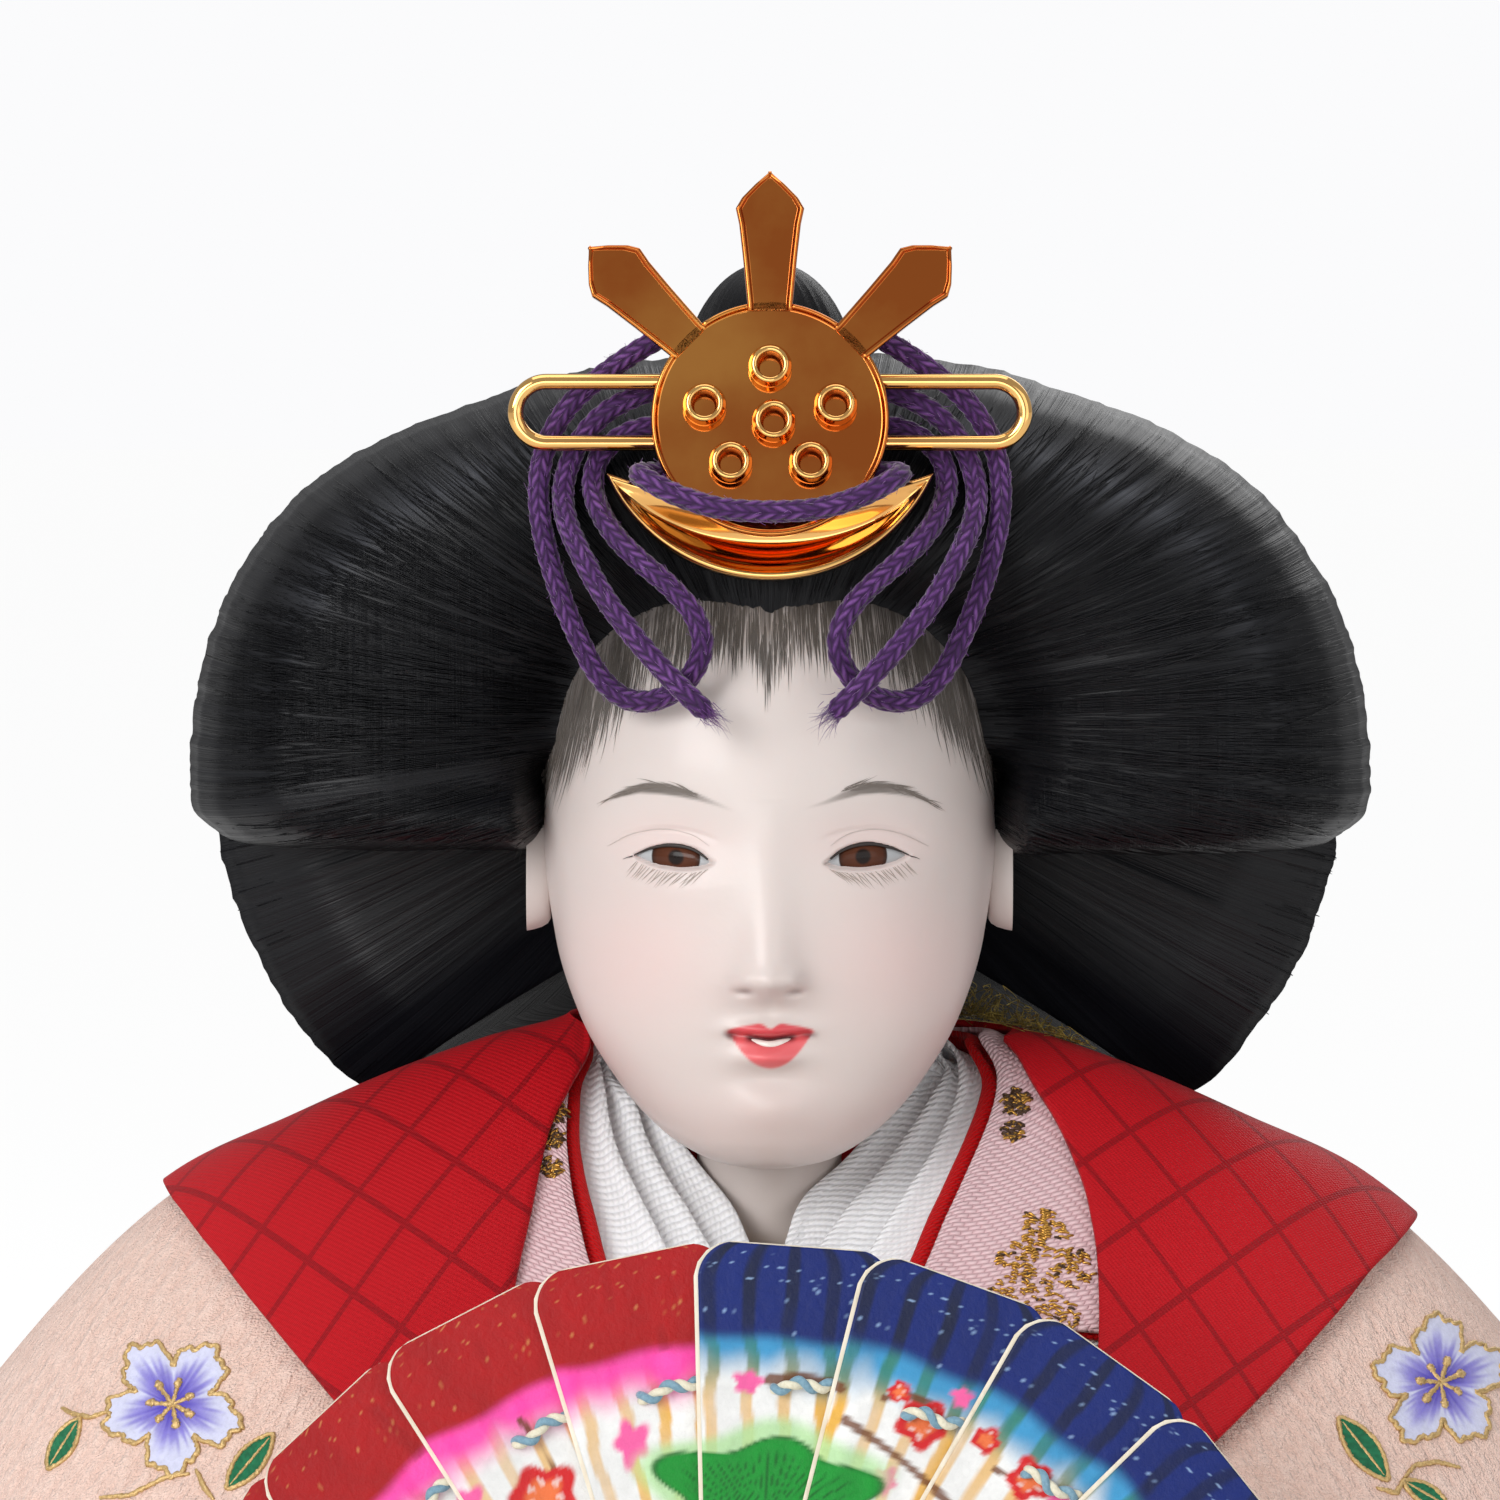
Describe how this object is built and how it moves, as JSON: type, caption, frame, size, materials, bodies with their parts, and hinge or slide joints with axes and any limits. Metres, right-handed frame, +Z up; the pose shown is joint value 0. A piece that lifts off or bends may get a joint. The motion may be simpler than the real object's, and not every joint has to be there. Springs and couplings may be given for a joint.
{
  "type": "hina doll",
  "caption": "Seated court lady doll in layered silk robes, with swept-back hair, gilt crown with cords, and a folding fan held in both hands.",
  "frame": {"origin": "middle of the base board's flat underside, on the floor", "axes": "+Z up, the doll looks along -Y, +X on the viewer's right"},
  "size_m": [0.2332, 0.192, 0.2094],
  "materials": {
    "board_wood": "plain board",
    "straw": "straw wound with paper",
    "arm_wire": "plain wire",
    "arm_padding": "soft wool",
    "padding": "soft wadding",
    "shell_white": "satin shell-white coat over wood paste",
    "eye_glass": "glossy",
    "stick_wood": "plain",
    "hair_black": "silk strands with a soft sheen",
    "tie_paper": "matt",
    "gilt_brass": "polished gilt",
    "cord_silk": "braided",
    "collar_white": "ribbed weave",
    "collar_red": "plain silk",
    "collar_pink": "woven silk",
    "jacket_red": "twill silk",
    "sleeve_peach": "crepe silk",
    "lining_1": "plain silk",
    "lining_2": "plain silk",
    "lining_3": "plain silk",
    "lining_4": "plain silk",
    "robe_peach": "crepe silk",
    "train_white": "plain silk",
    "trouser_red": "plain silk",
    "hem_1": "plain silk",
    "hem_2": "plain silk",
    "hem_3": "plain silk",
    "fan_white": "painted",
    "rivet_gold": "polished",
    "hand_white": "satin shell-white coat"
  },
  "bodies": {
    "figure": {"base_board": "board_wood", "torso": "straw", "arm_wire": "arm_wire", "arm_padding_left": "arm_padding", "arm_padding_right": "arm_padding", "lap_padding": "padding", "hair_tail": "hair_black", "hair_tie_1": "tie_paper", "hair_tie_2": "tie_paper", "hair_tie_3": "tie_paper", "white_collar_1": "collar_white", "white_collar_2": "collar_white", "white_collar_3": "collar_white", "red_collar": "collar_red", "pink_collar": "collar_pink", "red_jacket": "jacket_red", "sleeve_left": "sleeve_peach", "sleeve_right": "sleeve_peach", "sleeve_lining_left_1": "lining_1", "sleeve_lining_right_1": "lining_1", "sleeve_lining_left_2": "lining_2", "sleeve_lining_right_2": "lining_2", "sleeve_lining_left_3": "lining_3", "sleeve_lining_right_3": "lining_3", "sleeve_lining_left_4": "lining_4", "sleeve_lining_right_4": "lining_4", "robe_front": "robe_peach", "robe_back": "robe_peach", "train": "train_white", "trousers": "trouser_red", "hem_layer_1": "hem_1", "hem_layer_2": "hem_2", "hem_layer_3": "hem_3", "hand_left": "hand_white", "hand_right": "hand_white"},
    "head_group": {"head": "shell_white", "eye_left": "eye_glass", "eye_right": "eye_glass", "neck_stick": "stick_wood", "hair_front": "hair_black", "hair_back": "hair_black", "topknot": "hair_black", "crown_plate": "gilt_brass", "crown_stem": "gilt_brass", "comb": "gilt_brass", "hairpin_left": "gilt_brass", "hairpin_right": "gilt_brass", "cord_left": "cord_silk", "cord_right": "cord_silk", "cord_front": "cord_silk"},
    "fan_foot": {"fan_blade_5": "fan_white", "fan_rivet": "rivet_gold"},
    "leaf_1": {"fan_blade_1": "fan_white"},
    "leaf_2": {"fan_blade_2": "fan_white"},
    "leaf_3": {"fan_blade_3": "fan_white"},
    "leaf_4": {"fan_blade_4": "fan_white"},
    "leaf_6": {"fan_blade_6": "fan_white"},
    "leaf_7": {"fan_blade_7": "fan_white"},
    "leaf_8": {"fan_blade_8": "fan_white"}
  },
  "joints": [
    {"name": "head_turn", "type": "hinge", "parent": "figure", "child": "head_group", "pos_m": [0, 0, 0.131], "axis": [0, 0, 1], "range_deg": [-8, 8]},
    {"name": "fan_lift", "type": "slide", "parent": "figure", "child": "fan_foot", "axis": [0, 0.1392, 0.9903], "range_m": [0, 0.045]},
    {"name": "fan_fold", "type": "hinge", "parent": "fan_foot", "child": "leaf_1", "pos_m": [-0.0014, -0.058, 0.0985], "axis": [0, 0.9903, -0.1392], "range_deg": [0, 62]},
    {"name": "fold_2", "type": "hinge", "parent": "fan_foot", "child": "leaf_2", "pos_m": [-0.0014, -0.058, 0.0985], "axis": [0, 0.9903, -0.1392], "range_deg": [0, 46.5]},
    {"name": "fold_3", "type": "hinge", "parent": "fan_foot", "child": "leaf_3", "pos_m": [-0.0014, -0.058, 0.0985], "axis": [0, 0.9903, -0.1392], "range_deg": [0, 31]},
    {"name": "fold_4", "type": "hinge", "parent": "fan_foot", "child": "leaf_4", "pos_m": [-0.0014, -0.058, 0.0985], "axis": [0, 0.9903, -0.1392], "range_deg": [0, 15.5]},
    {"name": "fold_6", "type": "hinge", "parent": "fan_foot", "child": "leaf_6", "pos_m": [-0.0014, -0.058, 0.0985], "axis": [0, 0.9903, -0.1392], "range_deg": [-15.5, 0]},
    {"name": "fold_7", "type": "hinge", "parent": "fan_foot", "child": "leaf_7", "pos_m": [-0.0014, -0.058, 0.0985], "axis": [0, 0.9903, -0.1392], "range_deg": [-31, 0]},
    {"name": "fold_8", "type": "hinge", "parent": "fan_foot", "child": "leaf_8", "pos_m": [-0.0014, -0.058, 0.0985], "axis": [0, 0.9903, -0.1392], "range_deg": [-46.5, 0]}
  ],
  "couplings": [
    {"joint": "fold_2", "follows": "fan_fold", "ratio": 0.75},
    {"joint": "fold_3", "follows": "fan_fold", "ratio": 0.5},
    {"joint": "fold_4", "follows": "fan_fold", "ratio": 0.25},
    {"joint": "fold_6", "follows": "fan_fold", "ratio": -0.25},
    {"joint": "fold_7", "follows": "fan_fold", "ratio": -0.5},
    {"joint": "fold_8", "follows": "fan_fold", "ratio": -0.75}
  ]
}
